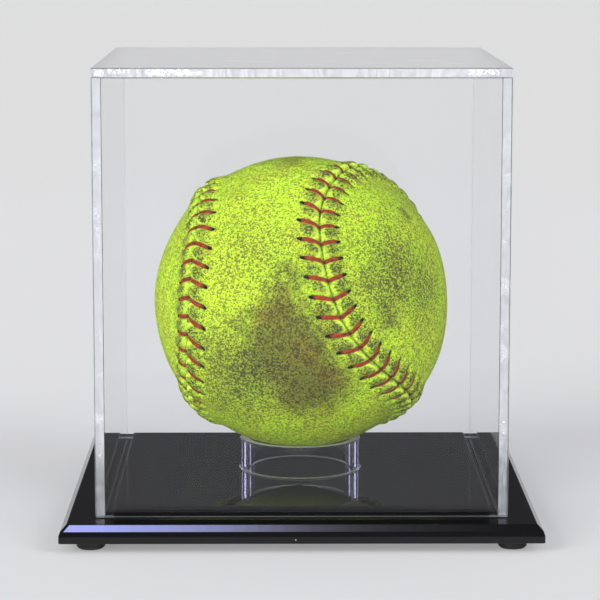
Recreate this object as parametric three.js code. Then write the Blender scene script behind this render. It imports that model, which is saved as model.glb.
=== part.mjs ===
// Softball display case: a bevelled base with a riser and a clear ring, a five-panel clear cover
// that lifts off it, and the stitched ball that rests on the ring.
// Millimetres, +Z up, +X to the right and +Y to the back, seen from the front.
// The origin lies on the ground under the middle of the case.

import * as THREE from 'three';
import { mergeVertices } from 'three/addons/utils/BufferGeometryUtils.js';

// Driving dimensions

const clearance = {
  seat: 0.3,        // under a piece that only rests on another
  cement: 0.1,      // film of cement between two bonded pieces
  thread: 0.38,     // between the thread and the hides
  liner: 0.35,      // between the core and the hides
};

const ball = {
  radius: 48.5,
  hideThickness: 1.6,
  seamGap: 1.2,         // from one hide's edge to the other's
  ridgeHeight: 1.0,     // how far the seam stands proud of the ball
  ridgeSpread: 6.5,     // how far the ridge falls off to each side
  grooveDepth: 0.8,
  grooveSpread: 1.2,
};

const seam = {
  poleAngle: 0.441,     // radians from the hide's waist to its middle
  swingAngle: 0.393,    // radians that the seam swings round each lobe
  stitches: 88,
  drift: 1.9,           // how far the hand-sewn stitches stray from even steps
};

const thread = {
  width: 1.3,
  height: 0.8,
  spineRise: 0.35,      // from the hides' edges to the spine's middle
  spineWidth: 0.7,
  frontReach: 7.5,      // from the seam to a needle hole on the front hide
  frontSlant: 3.1,      // how far that hole lies ahead of the stitch
  sideReach: 6.9,
  sideSlant: 1.2,
};

const ring = {
  radius: 20.1,
  wall: 3.0,
  height: 10.4,
  ease: 0.3,
  bead: 0.9,            // leg of the cement fillet round the ring's foot
};

const bedding = {
  margin: 1.0,          // past the ring's wall, where the seam lies pressed flat
  fade: 8.0,            // over which it rises again to its full height
  depth: 0.5,           // how far the hide gives under the ring's rim
};

const cover = {
  wall: 3.0,
  sideRoom: 13.05,      // from the ball to each wall
  headroom: 29.9,       // from the ball to the top panel
  ease: 0.3,
};

const riser = {
  thickness: 3.0,
  sideRoom: 2.35,       // from the riser's edge to the cover's wall
  ease: 0.4,
};

const base = {
  ledge: 10.9,          // how far the base stands out past the cover
  thickness: 5.6,
  bevelWidth: 1.9,
  bevelHeight: 2.0,
  shoulderInset: 0.5,
  ease: 0.4,
  cornerEase: 0.6,
};

const foot = {
  diameter: 9.0,
  height: 3.3,
  inset: 9.5,           // from the base's edge to the foot's middle
  ease: 0.7,
  draft: 0.4,           // how much smaller the foot is at its top
};

// How the ball lies on the ring, in degrees
const ballTilt = { x: 45.6, y: -18.2, z: -5.5 };

// Shares and counts

const shoulderShare = 0.6;
const hideColumnShares = [0, 0.21, 0.42, 0.62, 0.79, 0.9, 0.96, 1];
const legShares = [0.26, 0.68, 1];
const legFullnessShares = [1, 1, 0.5];
const beddedThreadShare = 0.4;
const hideRows = 52;
const seamSamples = 1760;
const roundFacets = 64;
const footFacets = 32;
const coreFacets = 28;

// Sizes that follow from them

const plateTop = foot.height + base.thickness;
const riserTop = plateTop + riser.thickness;
const ringFoot = riserTop + clearance.cement;
const ringRim = ringFoot + ring.height;
const ringBore = ring.radius - ring.wall;
const seatRadius = ball.radius + clearance.seat;
const ballCentre = ringRim + Math.sqrt(seatRadius ** 2 - ringBore ** 2);
const coverInside = 2 * (ball.radius + cover.sideRoom);
const coverWidth = coverInside + 2 * cover.wall;
const coverFoot = plateTop + clearance.seat;
const coverRoof = ballCentre + ball.radius + cover.headroom;
const wallHeight = coverRoof - clearance.cement - coverFoot;
const riserWidth = coverInside - 2 * riser.sideRoom;
const baseWidth = coverWidth + 2 * base.ledge;

// Materials

const finish = (color, roughness, more = {}) => (
  new THREE.MeshStandardMaterial({ color, roughness, metalness: 0, ...more })
);
const blackAcrylic = () => finish(0x060607, 0.08);
const clearAcrylic = () => finish(0xe6edf0, 0.05, { transparent: true, opacity: 0.3 });
const curedCement = () => finish(0xf2f5f7, 0.2, { transparent: true, opacity: 0.5 });
const blackRubber = () => finish(0x141413, 0.7);
const opticHide = () => finish(0xb7d52c, 0.6);
const foamCore = () => finish(0xd8cfa8, 0.8);
const redThread = () => finish(0x9c2b38, 0.65);

// Shaping helpers

/** A closed BufferGeometry from points and triangles, turned so that its faces point out. */
function closedGeometry(points, triangles) {
  let volume = 0;
  for (const [a, b, c] of triangles) {
    volume += points[a].dot(new THREE.Vector3().crossVectors(points[b], points[c]));
  }
  const faces = volume < 0 ? triangles.map(([a, b, c]) => [a, c, b]) : triangles;
  const geometry = new THREE.BufferGeometry();
  geometry.setAttribute('position', new THREE.Float32BufferAttribute(points.flatMap((p) => p.toArray()), 3));
  geometry.setIndex(faces.flat());
  return geometry;
}

/** A solid lofted through closed loops of equal count, from the lowest to the highest. */
function loft(loops) {
  const count = loops[0].length;
  const points = loops.flat();
  const triangles = [];
  for (let i = 0; i + 1 < loops.length; i += 1) {
    for (let j = 0; j < count; j += 1) {
      const k = (j + 1) % count;
      const [a, b] = [i * count + j, i * count + k];
      triangles.push([a, b, b + count], [a, b + count, a + count]);
    }
  }
  const last = (loops.length - 1) * count;
  for (let j = 1; j < count - 1; j += 1) {
    triangles.push([0, j + 1, j], [last, last + j, last + j + 1]);
  }
  return closedGeometry(points, triangles);
}

/** A square loop with cut corners, at height z. */
function squareLoop(width, depth, corner, z) {
  const [x, y] = [width / 2, depth / 2];
  const outline = [
    [x, corner - y], [x, y - corner], [x - corner, y], [corner - x, y],
    [-x, y - corner], [-x, corner - y], [corner - x, -y], [x - corner, -y],
  ];
  return outline.map(([px, py]) => new THREE.Vector3(px, py, z));
}

/** A flat sheet that lies on z = 0, with the edge of its upper face eased. */
function easedSheet(width, depth, thickness, ease) {
  return loft([
    squareLoop(width, depth, ease, 0),
    squareLoop(width, depth, ease, thickness - ease),
    squareLoop(width - 2 * ease, depth - 2 * ease, ease, thickness),
  ]);
}

/** A solid of revolution about Z from [radius, height] points, closed on itself or on the axis. */
function turned(profile, facets) {
  const outline = profile.map(([r, z]) => new THREE.Vector2(r, z));
  const lathe = new THREE.LatheGeometry(outline, facets);
  lathe.rotateX(Math.PI / 2);
  lathe.deleteAttribute('normal');
  lathe.deleteAttribute('uv');
  const merged = mergeVertices(lathe);
  const place = merged.getAttribute('position');
  const points = [];
  for (let i = 0; i < place.count; i += 1) points.push(new THREE.Vector3().fromBufferAttribute(place, i));
  const index = merged.getIndex().array;
  const triangles = [];
  for (let i = 0; i < index.length; i += 3) {
    const corners = [index[i], index[i + 1], index[i + 2]];
    if (new Set(corners).size === corners.length) triangles.push(corners);
  }
  return closedGeometry(points, triangles);
}

/** A named mesh. */
function piece(name, geometry, material) {
  geometry.computeVertexNormals();
  const mesh = new THREE.Mesh(geometry, material);
  mesh.name = name;
  return mesh;
}

// Base: plate, riser, ring and feet

function basePlate() {
  const shoulder = (base.thickness - base.bevelHeight) * shoulderShare;
  const levels = [
    [base.ease, 0],
    [0, base.ease],
    [0, shoulder],
    [base.shoulderInset, base.thickness - base.bevelHeight],
    [base.shoulderInset + base.bevelWidth, base.thickness],
  ];
  const loops = levels.map(([inset, z]) => (
    squareLoop(baseWidth - 2 * inset, baseWidth - 2 * inset, base.cornerEase, z)
  ));
  const plate = piece('base_plate', loft(loops), blackAcrylic());
  plate.position.z = foot.height;
  return plate;
}

function riserPlate() {
  const sheet = easedSheet(riserWidth, riserWidth, riser.thickness, riser.ease);
  const plate = piece('riser_plate', sheet, blackAcrylic());
  plate.position.z = plateTop;
  return plate;
}

function ringStand() {
  const eased = ring.height - ring.ease;
  const wall = [
    [ringBore, 0],
    [ring.radius, 0],
    [ring.radius, eased],
    [ring.radius - ring.ease, ring.height],
    [ringBore, ring.height],
    [ringBore, 0],
  ];
  const tube = piece('ring_stand', turned(wall, roundFacets), clearAcrylic());
  tube.position.z = ringFoot;
  return tube;
}

function ringBead() {
  const inside = ring.radius + clearance.cement;
  const fillet = [
    [inside, 0],
    [inside + ring.bead, 0],
    [inside, ring.bead],
    [inside, 0],
  ];
  const bead = piece('ring_cement_bead', turned(fillet, roundFacets), curedCement());
  bead.position.z = ringFoot;
  return bead;
}

function rubberFoot(name, sideX, sideY) {
  const radius = foot.diameter / 2;
  const profile = [
    [0, 0],
    [radius - foot.ease, 0],
    [radius, foot.ease],
    [radius - foot.draft, foot.height],
    [0, foot.height],
  ];
  const bumper = piece(name, turned(profile, footFacets), blackRubber());
  const reach = baseWidth / 2 - foot.inset;
  bumper.position.set(sideX * reach, sideY * reach, 0);
  return bumper;
}

function baseAssembly() {
  const group = new THREE.Group();
  group.add(basePlate(), riserPlate(), ringStand(), ringBead());
  for (const [depthName, sideY] of [['front', -1], ['rear', 1]]) {
    for (const [widthName, sideX] of [['left', -1], ['right', 1]]) {
      group.add(rubberFoot(`foot_${depthName}_${widthName}`, sideX, sideY));
    }
  }
  return group;
}

// Cover: four walls and a top, each with its outer face eased

function wallPanel(name, width, turn) {
  const sheet = easedSheet(width, wallHeight, cover.wall, cover.ease);
  sheet.rotateX(Math.PI / 2);
  const panel = piece(name, sheet, clearAcrylic());
  const stand = new THREE.Group();
  panel.position.set(0, -coverInside / 2, coverFoot + wallHeight / 2);
  stand.rotation.z = turn;
  stand.add(panel);
  return stand;
}

function topPanel() {
  const sheet = easedSheet(coverWidth, coverWidth, cover.wall, cover.ease);
  const panel = piece('cover_top_panel', sheet, clearAcrylic());
  panel.position.z = coverRoof;
  return panel;
}

function coverAssembly() {
  const group = new THREE.Group();
  const sideWidth = coverInside - 2 * clearance.cement;
  group.add(
    wallPanel('cover_front_panel', coverWidth, 0),
    wallPanel('cover_right_panel', sideWidth, Math.PI / 2),
    wallPanel('cover_rear_panel', coverWidth, Math.PI),
    wallPanel('cover_left_panel', sideWidth, -Math.PI / 2),
    topPanel(),
  );
  return group;
}

// Ball: a core in two hides that a herringbone seam joins

const ballTurn = new THREE.Quaternion().setFromEuler(new THREE.Euler(
  THREE.MathUtils.degToRad(ballTilt.x),
  THREE.MathUtils.degToRad(ballTilt.y),
  THREE.MathUtils.degToRad(ballTilt.z),
));

/** The closed seam on a ball of radius 1, from 0 to 1. */
class SeamCurve extends THREE.Curve {
  getPoint(share) {
    const turn = 4 * Math.PI * share;
    const polar = Math.PI / 2 - (Math.PI / 2 - seam.poleAngle) * Math.cos(turn);
    const around = turn / 2 + seam.swingAngle * Math.sin(2 * turn);
    return new THREE.Vector3(
      Math.sin(polar) * Math.cos(around),
      Math.sin(polar) * Math.sin(around),
      Math.cos(polar),
    );
  }
}

const seamCurve = new SeamCurve();
seamCurve.arcLengthDivisions = seamSamples;
const seamPoints = Array.from({ length: seamSamples }, (_, i) => seamCurve.getPoint(i / seamSamples));
const seamLength = seamCurve.getLength() * ball.radius;

/** The direction on the unit ball that lies `reach` mm to one side of the seam. */
function besideSeam(share, reach) {
  const step = 1 / seamSamples;
  const point = seamCurve.getPoint(share);
  const along = seamCurve.getPoint(share + step).sub(seamCurve.getPoint(share - step)).normalize();
  const across = new THREE.Vector3().crossVectors(point, along).normalize();
  const angle = reach / ball.radius;
  return point.multiplyScalar(Math.cos(angle)).addScaledVector(across, Math.sin(angle));
}

/** 1 where the ball lies on the ring's rim, fading to 0 on both sides of it. */
function beddedShare(direction) {
  const down = direction.clone().applyQuaternion(ballTurn);
  const fromBottom = ball.radius * Math.acos(THREE.MathUtils.clamp(-down.z, -1, 1));
  const rim = ball.radius * Math.asin((ringBore + ring.radius) / (2 * ball.radius));
  const reach = Math.abs(fromBottom - rim) - ring.wall / 2 - bedding.margin;
  return 1 - THREE.MathUtils.smoothstep(reach, 0, bedding.fade);
}

/** The radius of the hide's outer face in one direction. */
function hideRadius(direction) {
  let nearest = Infinity;
  for (const point of seamPoints) nearest = Math.min(nearest, direction.distanceToSquared(point));
  const away = ball.radius * Math.sqrt(nearest);
  const ridge = ball.ridgeHeight * Math.exp(-((away / ball.ridgeSpread) ** 2));
  const groove = ball.grooveDepth * Math.exp(-((away / ball.grooveSpread) ** 2));
  const pastThread = THREE.MathUtils.smoothstep(away, thread.sideReach, thread.sideReach + bedding.fade);
  const pressed = bedding.depth * (1 - pastThread);
  return ball.radius + THREE.MathUtils.lerp(ridge - groove, -pressed, beddedShare(direction));
}

/** One hide: arcs from edge to edge, from the tip of one lobe over the waist to the tip of the other. */
function hideShell(toPlace) {
  const columns = [...hideColumnShares.slice(1).map((share) => -share).reverse(), ...hideColumnShares];
  const points = [];
  const outer = [];
  const inner = [];
  for (let row = 0; row <= hideRows; row += 1) {
    const isTip = row === 0 || row === hideRows;
    const edge = besideSeam(row / (2 * hideRows) - 1 / 4, ball.seamGap / 2);
    const halfWidth = isTip ? 0 : Math.asin(edge.x);
    const around = Math.atan2(edge.y, edge.z);
    const outerRow = [];
    const innerRow = [];
    for (const share of columns) {
      if (isTip && outerRow.length > 0) {
        outerRow.push(outerRow[0]);
        innerRow.push(innerRow[0]);
        continue;
      }
      const angle = halfWidth * share;
      const direction = toPlace(new THREE.Vector3(
        Math.sin(angle),
        Math.cos(angle) * Math.sin(around),
        Math.cos(angle) * Math.cos(around),
      ));
      outerRow.push(points.push(direction.clone().multiplyScalar(hideRadius(direction))) - 1);
      innerRow.push(points.push(direction.multiplyScalar(ball.radius - ball.hideThickness)) - 1);
    }
    outer.push(outerRow);
    inner.push(innerRow);
  }
  const triangles = [];
  const addQuad = (a, b, c, d) => {
    for (const corners of [[a, b, c], [a, c, d]]) {
      if (new Set(corners).size === corners.length) triangles.push(corners);
    }
  };
  const last = columns.length - 1;
  for (let row = 0; row < hideRows; row += 1) {
    for (let column = 0; column < last; column += 1) {
      const next = column + 1;
      addQuad(outer[row][column], outer[row][next], outer[row + 1][next], outer[row + 1][column]);
      addQuad(inner[row][next], inner[row][column], inner[row + 1][column], inner[row + 1][next]);
    }
    addQuad(inner[row][0], outer[row][0], outer[row + 1][0], inner[row + 1][0]);
    addQuad(outer[row][last], inner[row][last], inner[row + 1][last], outer[row + 1][last]);
  }
  return closedGeometry(points, triangles);
}

/** The seam curve's own parameter at a length along the seam. */
function seamShare(length) {
  const share = length / seamLength;
  return seamCurve.getUtoTmapping(share - Math.floor(share));
}

/** The spine's cross-section in the seam's groove: low and high corners on one side, then on the other. */
function spineLoop(length) {
  const share = seamShare(length);
  const half = thread.spineWidth / 2;
  const edge = hideRadius(besideSeam(share, ball.seamGap / 2));
  const low = edge + thread.spineRise - half;
  const high = low + thread.spineWidth;
  return [[-half, low], [half, low], [half, high], [-half, high]].map(([across, radius]) => (
    besideSeam(share, across).multiplyScalar(radius)
  ));
}

/** One cross-section of a stitch's leg, clear of the hide. */
function legLoop(start, share, fullness, { reach, slant, corners }) {
  const middle = start + share * slant;
  return corners.map(([end, level]) => {
    const length = middle + end * fullness * thread.width / 2;
    const direction = besideSeam(seamShare(length), share * reach);
    const flattened = THREE.MathUtils.lerp(1, beddedThreadShare, beddedShare(direction));
    const height = clearance.thread + level * fullness * flattened * thread.height;
    return direction.multiplyScalar(hideRadius(direction) + height);
  });
}

/** The herringbone stitches: legs that grow out of both sides of a spine that runs round the seam. */
function stitching() {
  const pitch = seamLength / seam.stitches;
  const points = [];
  const triangles = [];
  const addLoop = (loop) => loop.map((point) => points.push(point) - 1);
  const addQuad = ([a, b, c, d]) => triangles.push([a, b, c], [a, c, d]);
  const starts = Array.from({ length: seam.stitches }, (_, i) => (
    i * pitch + seam.drift * Math.cos(2 * Math.PI * i / seam.stitches)
  ));
  const half = thread.width / 2;
  const spine = starts.flatMap((start) => [start - half, start + half]).map((at) => addLoop(spineLoop(at)));
  const legs = {
    1: { reach: thread.frontReach, slant: thread.frontSlant, corners: [[-1, 0], [-1, 1], [1, 1], [1, 0]] },
    3: { reach: -thread.sideReach, slant: thread.sideSlant, corners: [[-1, 1], [-1, 0], [1, 0], [1, 1]] },
  };
  spine.forEach((loop, i) => {
    const next = spine[(i + 1) % spine.length];
    const isStitch = i % 2 === 0;
    loop.forEach((corner, j) => {
      const k = (j + 1) % loop.length;
      let face = [corner, loop[k], next[k], next[j]];
      const leg = isStitch && legs[j];
      if (leg) {
        legShares.forEach((share, step) => {
          const outer = addLoop(legLoop(starts[i / 2], share, legFullnessShares[step], leg));
          face.forEach((inner, m) => {
            const n = (m + 1) % face.length;
            addQuad([inner, face[n], outer[n], outer[m]]);
          });
          face = outer;
        });
      }
      addQuad(face);
    });
  });
  return closedGeometry(points, triangles);
}

function ballAssembly() {
  const group = new THREE.Group();
  const coreRadius = ball.radius - ball.hideThickness - clearance.liner;
  const arc = Array.from({ length: coreFacets / 2 + 1 }, (_, i) => {
    const angle = 2 * Math.PI * i / coreFacets;
    return [i * 2 === coreFacets ? 0 : coreRadius * Math.sin(angle), -coreRadius * Math.cos(angle)];
  });
  group.add(
    piece('ball_core', turned(arc, coreFacets), foamCore()),
    piece('ball_front_hide', hideShell((p) => p), opticHide()),
    piece('ball_side_hide', hideShell((p) => new THREE.Vector3(-p.y, p.x, -p.z)), opticHide()),
    piece('ball_stitching', stitching(), redThread()),
  );
  group.quaternion.copy(ballTurn);
  group.position.z = ballCentre;
  return group;
}

const displayCase = new THREE.Group();
displayCase.add(baseAssembly(), coverAssembly(), ballAssembly());

export default displayCase;
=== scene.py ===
"""A softball display case: a bevelled black base, a clear cover that lifts off it, and the ball on its ring.

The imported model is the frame, and each piece below stands for one of its nodes. Sizes are in
millimetres, and MM turns them into metres where a mesh is made.
"""

import logging
import math
from collections.abc import Callable
from dataclasses import dataclass, field
from enum import Enum

import bpy
import numpy as np
from mathutils import Matrix, Vector

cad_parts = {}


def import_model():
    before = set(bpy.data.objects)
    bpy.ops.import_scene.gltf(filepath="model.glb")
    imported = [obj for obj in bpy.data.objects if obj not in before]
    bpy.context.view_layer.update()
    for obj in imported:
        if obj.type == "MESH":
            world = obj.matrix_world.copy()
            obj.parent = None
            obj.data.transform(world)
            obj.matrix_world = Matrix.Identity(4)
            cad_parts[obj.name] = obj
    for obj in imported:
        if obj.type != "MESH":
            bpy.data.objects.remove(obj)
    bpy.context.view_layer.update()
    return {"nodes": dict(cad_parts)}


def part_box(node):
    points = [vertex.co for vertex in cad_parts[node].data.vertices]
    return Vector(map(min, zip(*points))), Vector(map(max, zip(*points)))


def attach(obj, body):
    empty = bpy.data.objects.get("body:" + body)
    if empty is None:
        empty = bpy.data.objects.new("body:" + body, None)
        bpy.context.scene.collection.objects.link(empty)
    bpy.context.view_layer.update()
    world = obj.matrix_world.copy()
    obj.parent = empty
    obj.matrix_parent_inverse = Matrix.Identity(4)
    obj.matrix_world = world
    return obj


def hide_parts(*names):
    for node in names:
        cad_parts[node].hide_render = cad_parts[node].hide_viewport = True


LOG = logging.getLogger("display_case")
MM = 0.001
ACRYLIC_INDEX = 1.49

Rgb = tuple[float, float, float]
Point = tuple[float, float, float]
Pixel = tuple[float, float]
Piece = bpy.types.Object
Material = bpy.types.Material
Socket = bpy.types.NodeSocket
Test = Callable[[Vector, Vector], bool]


class Hide(Enum):
    """One of the ball's two hides, with the side of the seam that it lies on."""

    FRONT = 1
    SIDE = -1


class Soil(Enum):
    """What a dirty place on the hide looks like."""

    STAIN = "stain"
    SCUFF = "scuff"


# Modelling helpers


def deselect() -> None:
    """Leaves object mode with nothing selected."""
    if bpy.context.mode != "OBJECT":
        bpy.ops.object.mode_set(mode="OBJECT")
    bpy.ops.object.select_all(action="DESELECT")


def take(piece: Piece) -> None:
    """Makes a piece the only selected and the active one."""
    deselect()
    piece.select_set(True)
    bpy.context.view_layer.objects.active = piece


def new_piece(name: str) -> Piece:
    """Names the primitive that an operator has just added, and applies its place and size.

    Args:
        name: the piece's name.

    Returns:
        The piece, with its object at the origin.
    """
    piece = bpy.context.active_object
    piece.name = name
    piece.data.name = name
    take(piece)
    bpy.ops.object.transform_apply(location=True, rotation=True, scale=True)
    return piece


def edit(piece: Piece, faces: Test | None = None, edges: Test | None = None) -> None:
    """Enters edit mode with the faces or the edges selected that a test picks.

    Args:
        piece: the mesh to edit.
        faces: takes a face's middle and its normal.
        edges: takes an edge's two ends.
    """
    take(piece)
    mesh = piece.data
    bpy.context.tool_settings.mesh_select_mode = (False, edges is not None, faces is not None)
    for parts in (mesh.vertices, mesh.edges, mesh.polygons):
        parts.foreach_set("select", [False] * len(parts))
    if faces is not None:
        mesh.polygons.foreach_set("select", [bool(faces(face.center, face.normal)) for face in mesh.polygons])
    if edges is not None:
        ends = [[mesh.vertices[end].co for end in edge.vertices] for edge in mesh.edges]
        mesh.edges.foreach_set("select", [bool(edges(first, last)) for first, last in ends])
    bpy.ops.object.mode_set(mode="EDIT")


def apply_modifier(piece: Piece, kind: str, **settings: object) -> None:
    """Adds a modifier with these settings and applies it.

    Args:
        piece: the mesh to change.
        kind: Blender's name of the modifier's type.
        **settings: the modifier's own properties.
    """
    take(piece)
    modifier = piece.modifiers.new(kind.lower(), kind)
    for name, value in settings.items():
        setattr(modifier, name, value)
    bpy.ops.object.modifier_apply(modifier=modifier.name)


def shade(piece: Piece, angle: float = 50.0, weighted: bool = True) -> None:
    """Shades a piece smooth, except at its sharp edges.

    Args:
        piece: the piece to shade.
        angle: the least angle of a sharp edge, in degrees.
        weighted: whether large faces are shaded flat, so that a clear sheet doesn't act as a lens.
    """
    take(piece)
    bpy.ops.object.shade_smooth_by_angle(angle=math.radians(angle))
    if weighted:
        apply_modifier(piece, "WEIGHTED_NORMAL", keep_sharp=True, weight=100)


def ease_edges(piece: Piece, width: float, segments: int = 3, angle: float = 20.0) -> None:
    """Rounds every edge that is sharper than an angle, and shades the faces smooth.

    Args:
        piece: the mesh to round.
        width: the rounding's width in millimetres.
        segments: the faces across the rounding.
        angle: the least angle of an edge that is rounded, in degrees.
    """
    limit = {"limit_method": "ANGLE", "angle_limit": math.radians(angle)}
    apply_modifier(piece, "BEVEL", width=width * MM, segments=segments, **limit)
    shade(piece)


def block(name: str, low: Vector, high: Vector) -> Piece:
    """Adds a box between two corners.

    Args:
        name: the piece's name.
        low: the lowest corner in metres.
        high: the highest corner in metres.

    Returns:
        The new piece.
    """
    deselect()
    bpy.ops.mesh.primitive_cube_add(size=1.0, location=(low + high) / 2, scale=high - low)
    return new_piece(name)


def spun(name: str, outline: list[tuple[float, float]], facets: int) -> Piece:
    """Turns a closed outline about the Z axis.

    Args:
        name: the piece's name.
        outline: (radius, height) corners in metres, in order.
        facets: the faces in one turn.

    Returns:
        The closed piece.
    """
    deselect()
    bpy.ops.mesh.primitive_circle_add(vertices=len(outline), radius=MM, fill_type="NGON")
    piece = new_piece(name)
    for vertex, (radius, height) in zip(piece.data.vertices, outline):
        vertex.co = (radius, 0.0, height)
    edit(piece, faces=lambda middle, normal: True)
    bpy.ops.mesh.spin(
        steps=facets, angle=2 * math.pi, center=(0.0, 0.0, 0.0), axis=(0.0, 0.0, 1.0), use_auto_merge=False
    )
    bpy.ops.mesh.select_all(action="SELECT")
    bpy.ops.mesh.remove_doubles(threshold=0.002 * MM)
    bpy.ops.mesh.select_all(action="DESELECT")
    bpy.ops.mesh.select_interior_faces()
    bpy.ops.mesh.delete(type="FACE")
    bpy.ops.mesh.select_all(action="SELECT")
    bpy.ops.mesh.normals_make_consistent(inside=False)
    bpy.ops.object.mode_set(mode="OBJECT")
    return piece


def points_of(piece: Piece) -> np.ndarray:
    """The places of a piece's vertices, one a row."""
    places = np.empty(len(piece.data.vertices) * 3)
    piece.data.vertices.foreach_get("co", places)
    return places.reshape(-1, 3)


def move_points(piece: Piece, places: np.ndarray) -> None:
    """Puts a piece's vertices at new places, one a row."""
    piece.data.vertices.foreach_set("co", places.ravel())


def carry(piece: Piece, marks: dict[str, np.ndarray]) -> None:
    """Gives each vertex a value of each mark, which the materials read by the mark's name."""
    for name, values in marks.items():
        piece.data.attributes.new(name, "FLOAT", "POINT").data.foreach_set("value", values)


def dress(piece: Piece, material: Material, body: str, slot: str, *nodes: str) -> None:
    """Gives a piece its finish and its place in the frame.

    Args:
        piece: the finished mesh.
        material: its material.
        body: the body that it rides on.
        slot: the name of a material slot; not used.
        *nodes: the frame's nodes that it stands for.
    """
    piece.data.materials.clear()
    piece.data.materials.append(material)
    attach(piece, body)
    if nodes:
        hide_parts(*nodes)
    LOG.info("%s rides on %s, %d faces", piece.name, body, len(piece.data.polygons))


def smooth_step(value: np.ndarray, low: float, high: float) -> np.ndarray:
    """0 below low, 1 above high, and a smooth rise between them."""
    share = np.clip((value - low) / (high - low), 0.0, 1.0)
    return share * share * (3.0 - 2.0 * share)


def hump(value: np.ndarray, width: float | np.ndarray) -> np.ndarray:
    """1 where a value is 0, and a soft fall over a width on both sides of that."""
    return np.exp(-((value / width) ** 2))


# Material helpers


# The Principled shader's inputs, by the names that the finishes use.
SURFACE_INPUTS = {
    "index": "IOR",
    "shine": "Specular IOR Level",
    "shine_tint": "Specular Tint",
    "clear": "Transmission Weight",
    "normal": "Normal",
}


class Nodes:
    """The node tree of a material or the world, with a short call for each kind of node."""

    def __init__(self, owner: Material | bpy.types.World) -> None:
        """Starts an empty tree in its owner."""
        owner.use_nodes = True
        self.owner = owner
        self.tree = owner.node_tree
        self.tree.nodes.clear()

    def add(
        self, kind: str, inputs: dict[str | int, object] | None = None, **settings: object
    ) -> bpy.types.Node:
        """Adds a node.

        Args:
            kind: the node's type.
            inputs: a value or another node's output for each input that isn't left as it is.
            **settings: the node's own properties.

        Returns:
            The new node.
        """
        node = self.tree.nodes.new(kind)
        for name, value in settings.items():
            setattr(node, name, value)
        for name, value in (inputs or {}).items():
            socket = node.inputs[name]
            if isinstance(value, Socket):
                self.tree.links.new(value, socket)
            else:
                socket.default_value = (*value, 1.0) if socket.type == "RGBA" else value
        return node

    def place(self, stretch: Point = (1.0, 1.0, 1.0)) -> Socket:
        """The point on the piece in metres, stretched along each axis."""
        coordinates = self.add("ShaderNodeTexCoord").outputs["Object"]
        return self.add("ShaderNodeMapping", {"Vector": coordinates, "Scale": stretch}).outputs["Vector"]

    def noise(self, where: Socket, size: float, detail: float = 2.0, grit: float = 0.55) -> Socket:
        """Soft noise from 0 to 1.

        Args:
            where: the point that it is read at.
            size: how wide its lumps are, in millimetres.
            detail: how many finer layers it has.
            grit: how strong the finer layers are.

        Returns:
            The noise.
        """
        inputs = {"Vector": where, "Scale": 1.0 / (size * MM), "Detail": detail, "Roughness": grit}
        return self.add("ShaderNodeTexNoise", inputs).outputs["Fac"]

    def cells(self, where: Socket, size: float) -> bpy.types.Node:
        """Cells of a size in millimetres, each with a colour, and the distance to the nearest middle."""
        return self.add("ShaderNodeTexVoronoi", {"Vector": where, "Scale": 1.0 / (size * MM)})

    def grains(self, where: Socket, size: float) -> Socket:
        """A value from 0 to 1 that jumps from grain to grain, for grains of a size in millimetres."""
        color = self.cells(where, size).outputs["Color"]
        return self.add("ShaderNodeSeparateColor", {"Color": color}).outputs["Red"]

    def dots(self, grains: Socket, share: Socket) -> Socket:
        """1 on the share of the grains that is asked for, and 0 on the others."""
        return self.rise(self.plus(self.times(grains, 0.5), self.times(share, 0.5)), 0.42, 0.56)

    def seen(self) -> Socket:
        """1 for rays that show a background: the camera's, mirrored ones and those through clear pieces."""
        path = self.add("ShaderNodeLightPath").outputs
        return self.most(path["Is Camera Ray"], path["Is Glossy Ray"], path["Is Transmission Ray"])

    def rise(self, value: Socket, low: float, high: float, most: float = 1.0, least: float = 0.0) -> Socket:
        """A straight rise with a value.

        Args:
            value: a node's output.
            low: the value that gives the least.
            high: the value that gives the most.
            most: the result at high and past it.
            least: the result at low and past it.

        Returns:
            The result.
        """
        inputs = {"Value": value, "From Min": low, "From Max": high, "To Min": least, "To Max": most}
        return self.add("ShaderNodeMapRange", inputs).outputs["Result"]

    def reckon(self, operation: str, first: object, *others: object) -> Socket:
        """The result of Math nodes in a row, each held between 0 and 1."""
        for other in others:
            node = self.add("ShaderNodeMath", {0: first, 1: other}, operation=operation, use_clamp=True)
            first = node.outputs[0]
        return first

    def plus(self, *values: object) -> Socket:
        """The sum of values, at most 1."""
        return self.reckon("ADD", *values)

    def times(self, *values: object) -> Socket:
        """The product of values, at most 1."""
        return self.reckon("MULTIPLY", *values)

    def most(self, *values: object) -> Socket:
        """The largest of values, at most 1."""
        return self.reckon("MAXIMUM", *values)

    def carried(self, name: str) -> Socket:
        """A value that the mesh carries at each vertex."""
        return self.add("ShaderNodeAttribute", attribute_name=name).outputs["Fac"]

    def mix(self, share: object, first: object, second: object, blend: str = "MIX") -> Socket:
        """A colour between two others.

        Args:
            share: how much of the second one there is.
            first: a colour or a node's output.
            second: a colour or a node's output.
            blend: how the second one is laid on the first.

        Returns:
            The mixed colour.
        """
        inputs = {0: share, 6: first, 7: second}
        return self.add("ShaderNodeMix", inputs, data_type="RGBA", blend_type=blend).outputs[2]

    def darken(self, share: object, color: Socket, tint: object) -> Socket:
        """A colour multiplied by a share of a tint."""
        return self.mix(share, color, tint, "MULTIPLY")

    def bump(self, height: Socket, depth: float, below: Socket | None = None) -> Socket:
        """A normal that shows fine relief.

        Args:
            height: the relief from 0 to 1.
            depth: its depth in millimetres.
            below: the normal of a coarser relief, if there is one.

        Returns:
            The normal.
        """
        inputs = {"Height": height, "Distance": depth * MM}
        if below is not None:
            inputs["Normal"] = below
        return self.add("ShaderNodeBump", inputs).outputs["Normal"]

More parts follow.
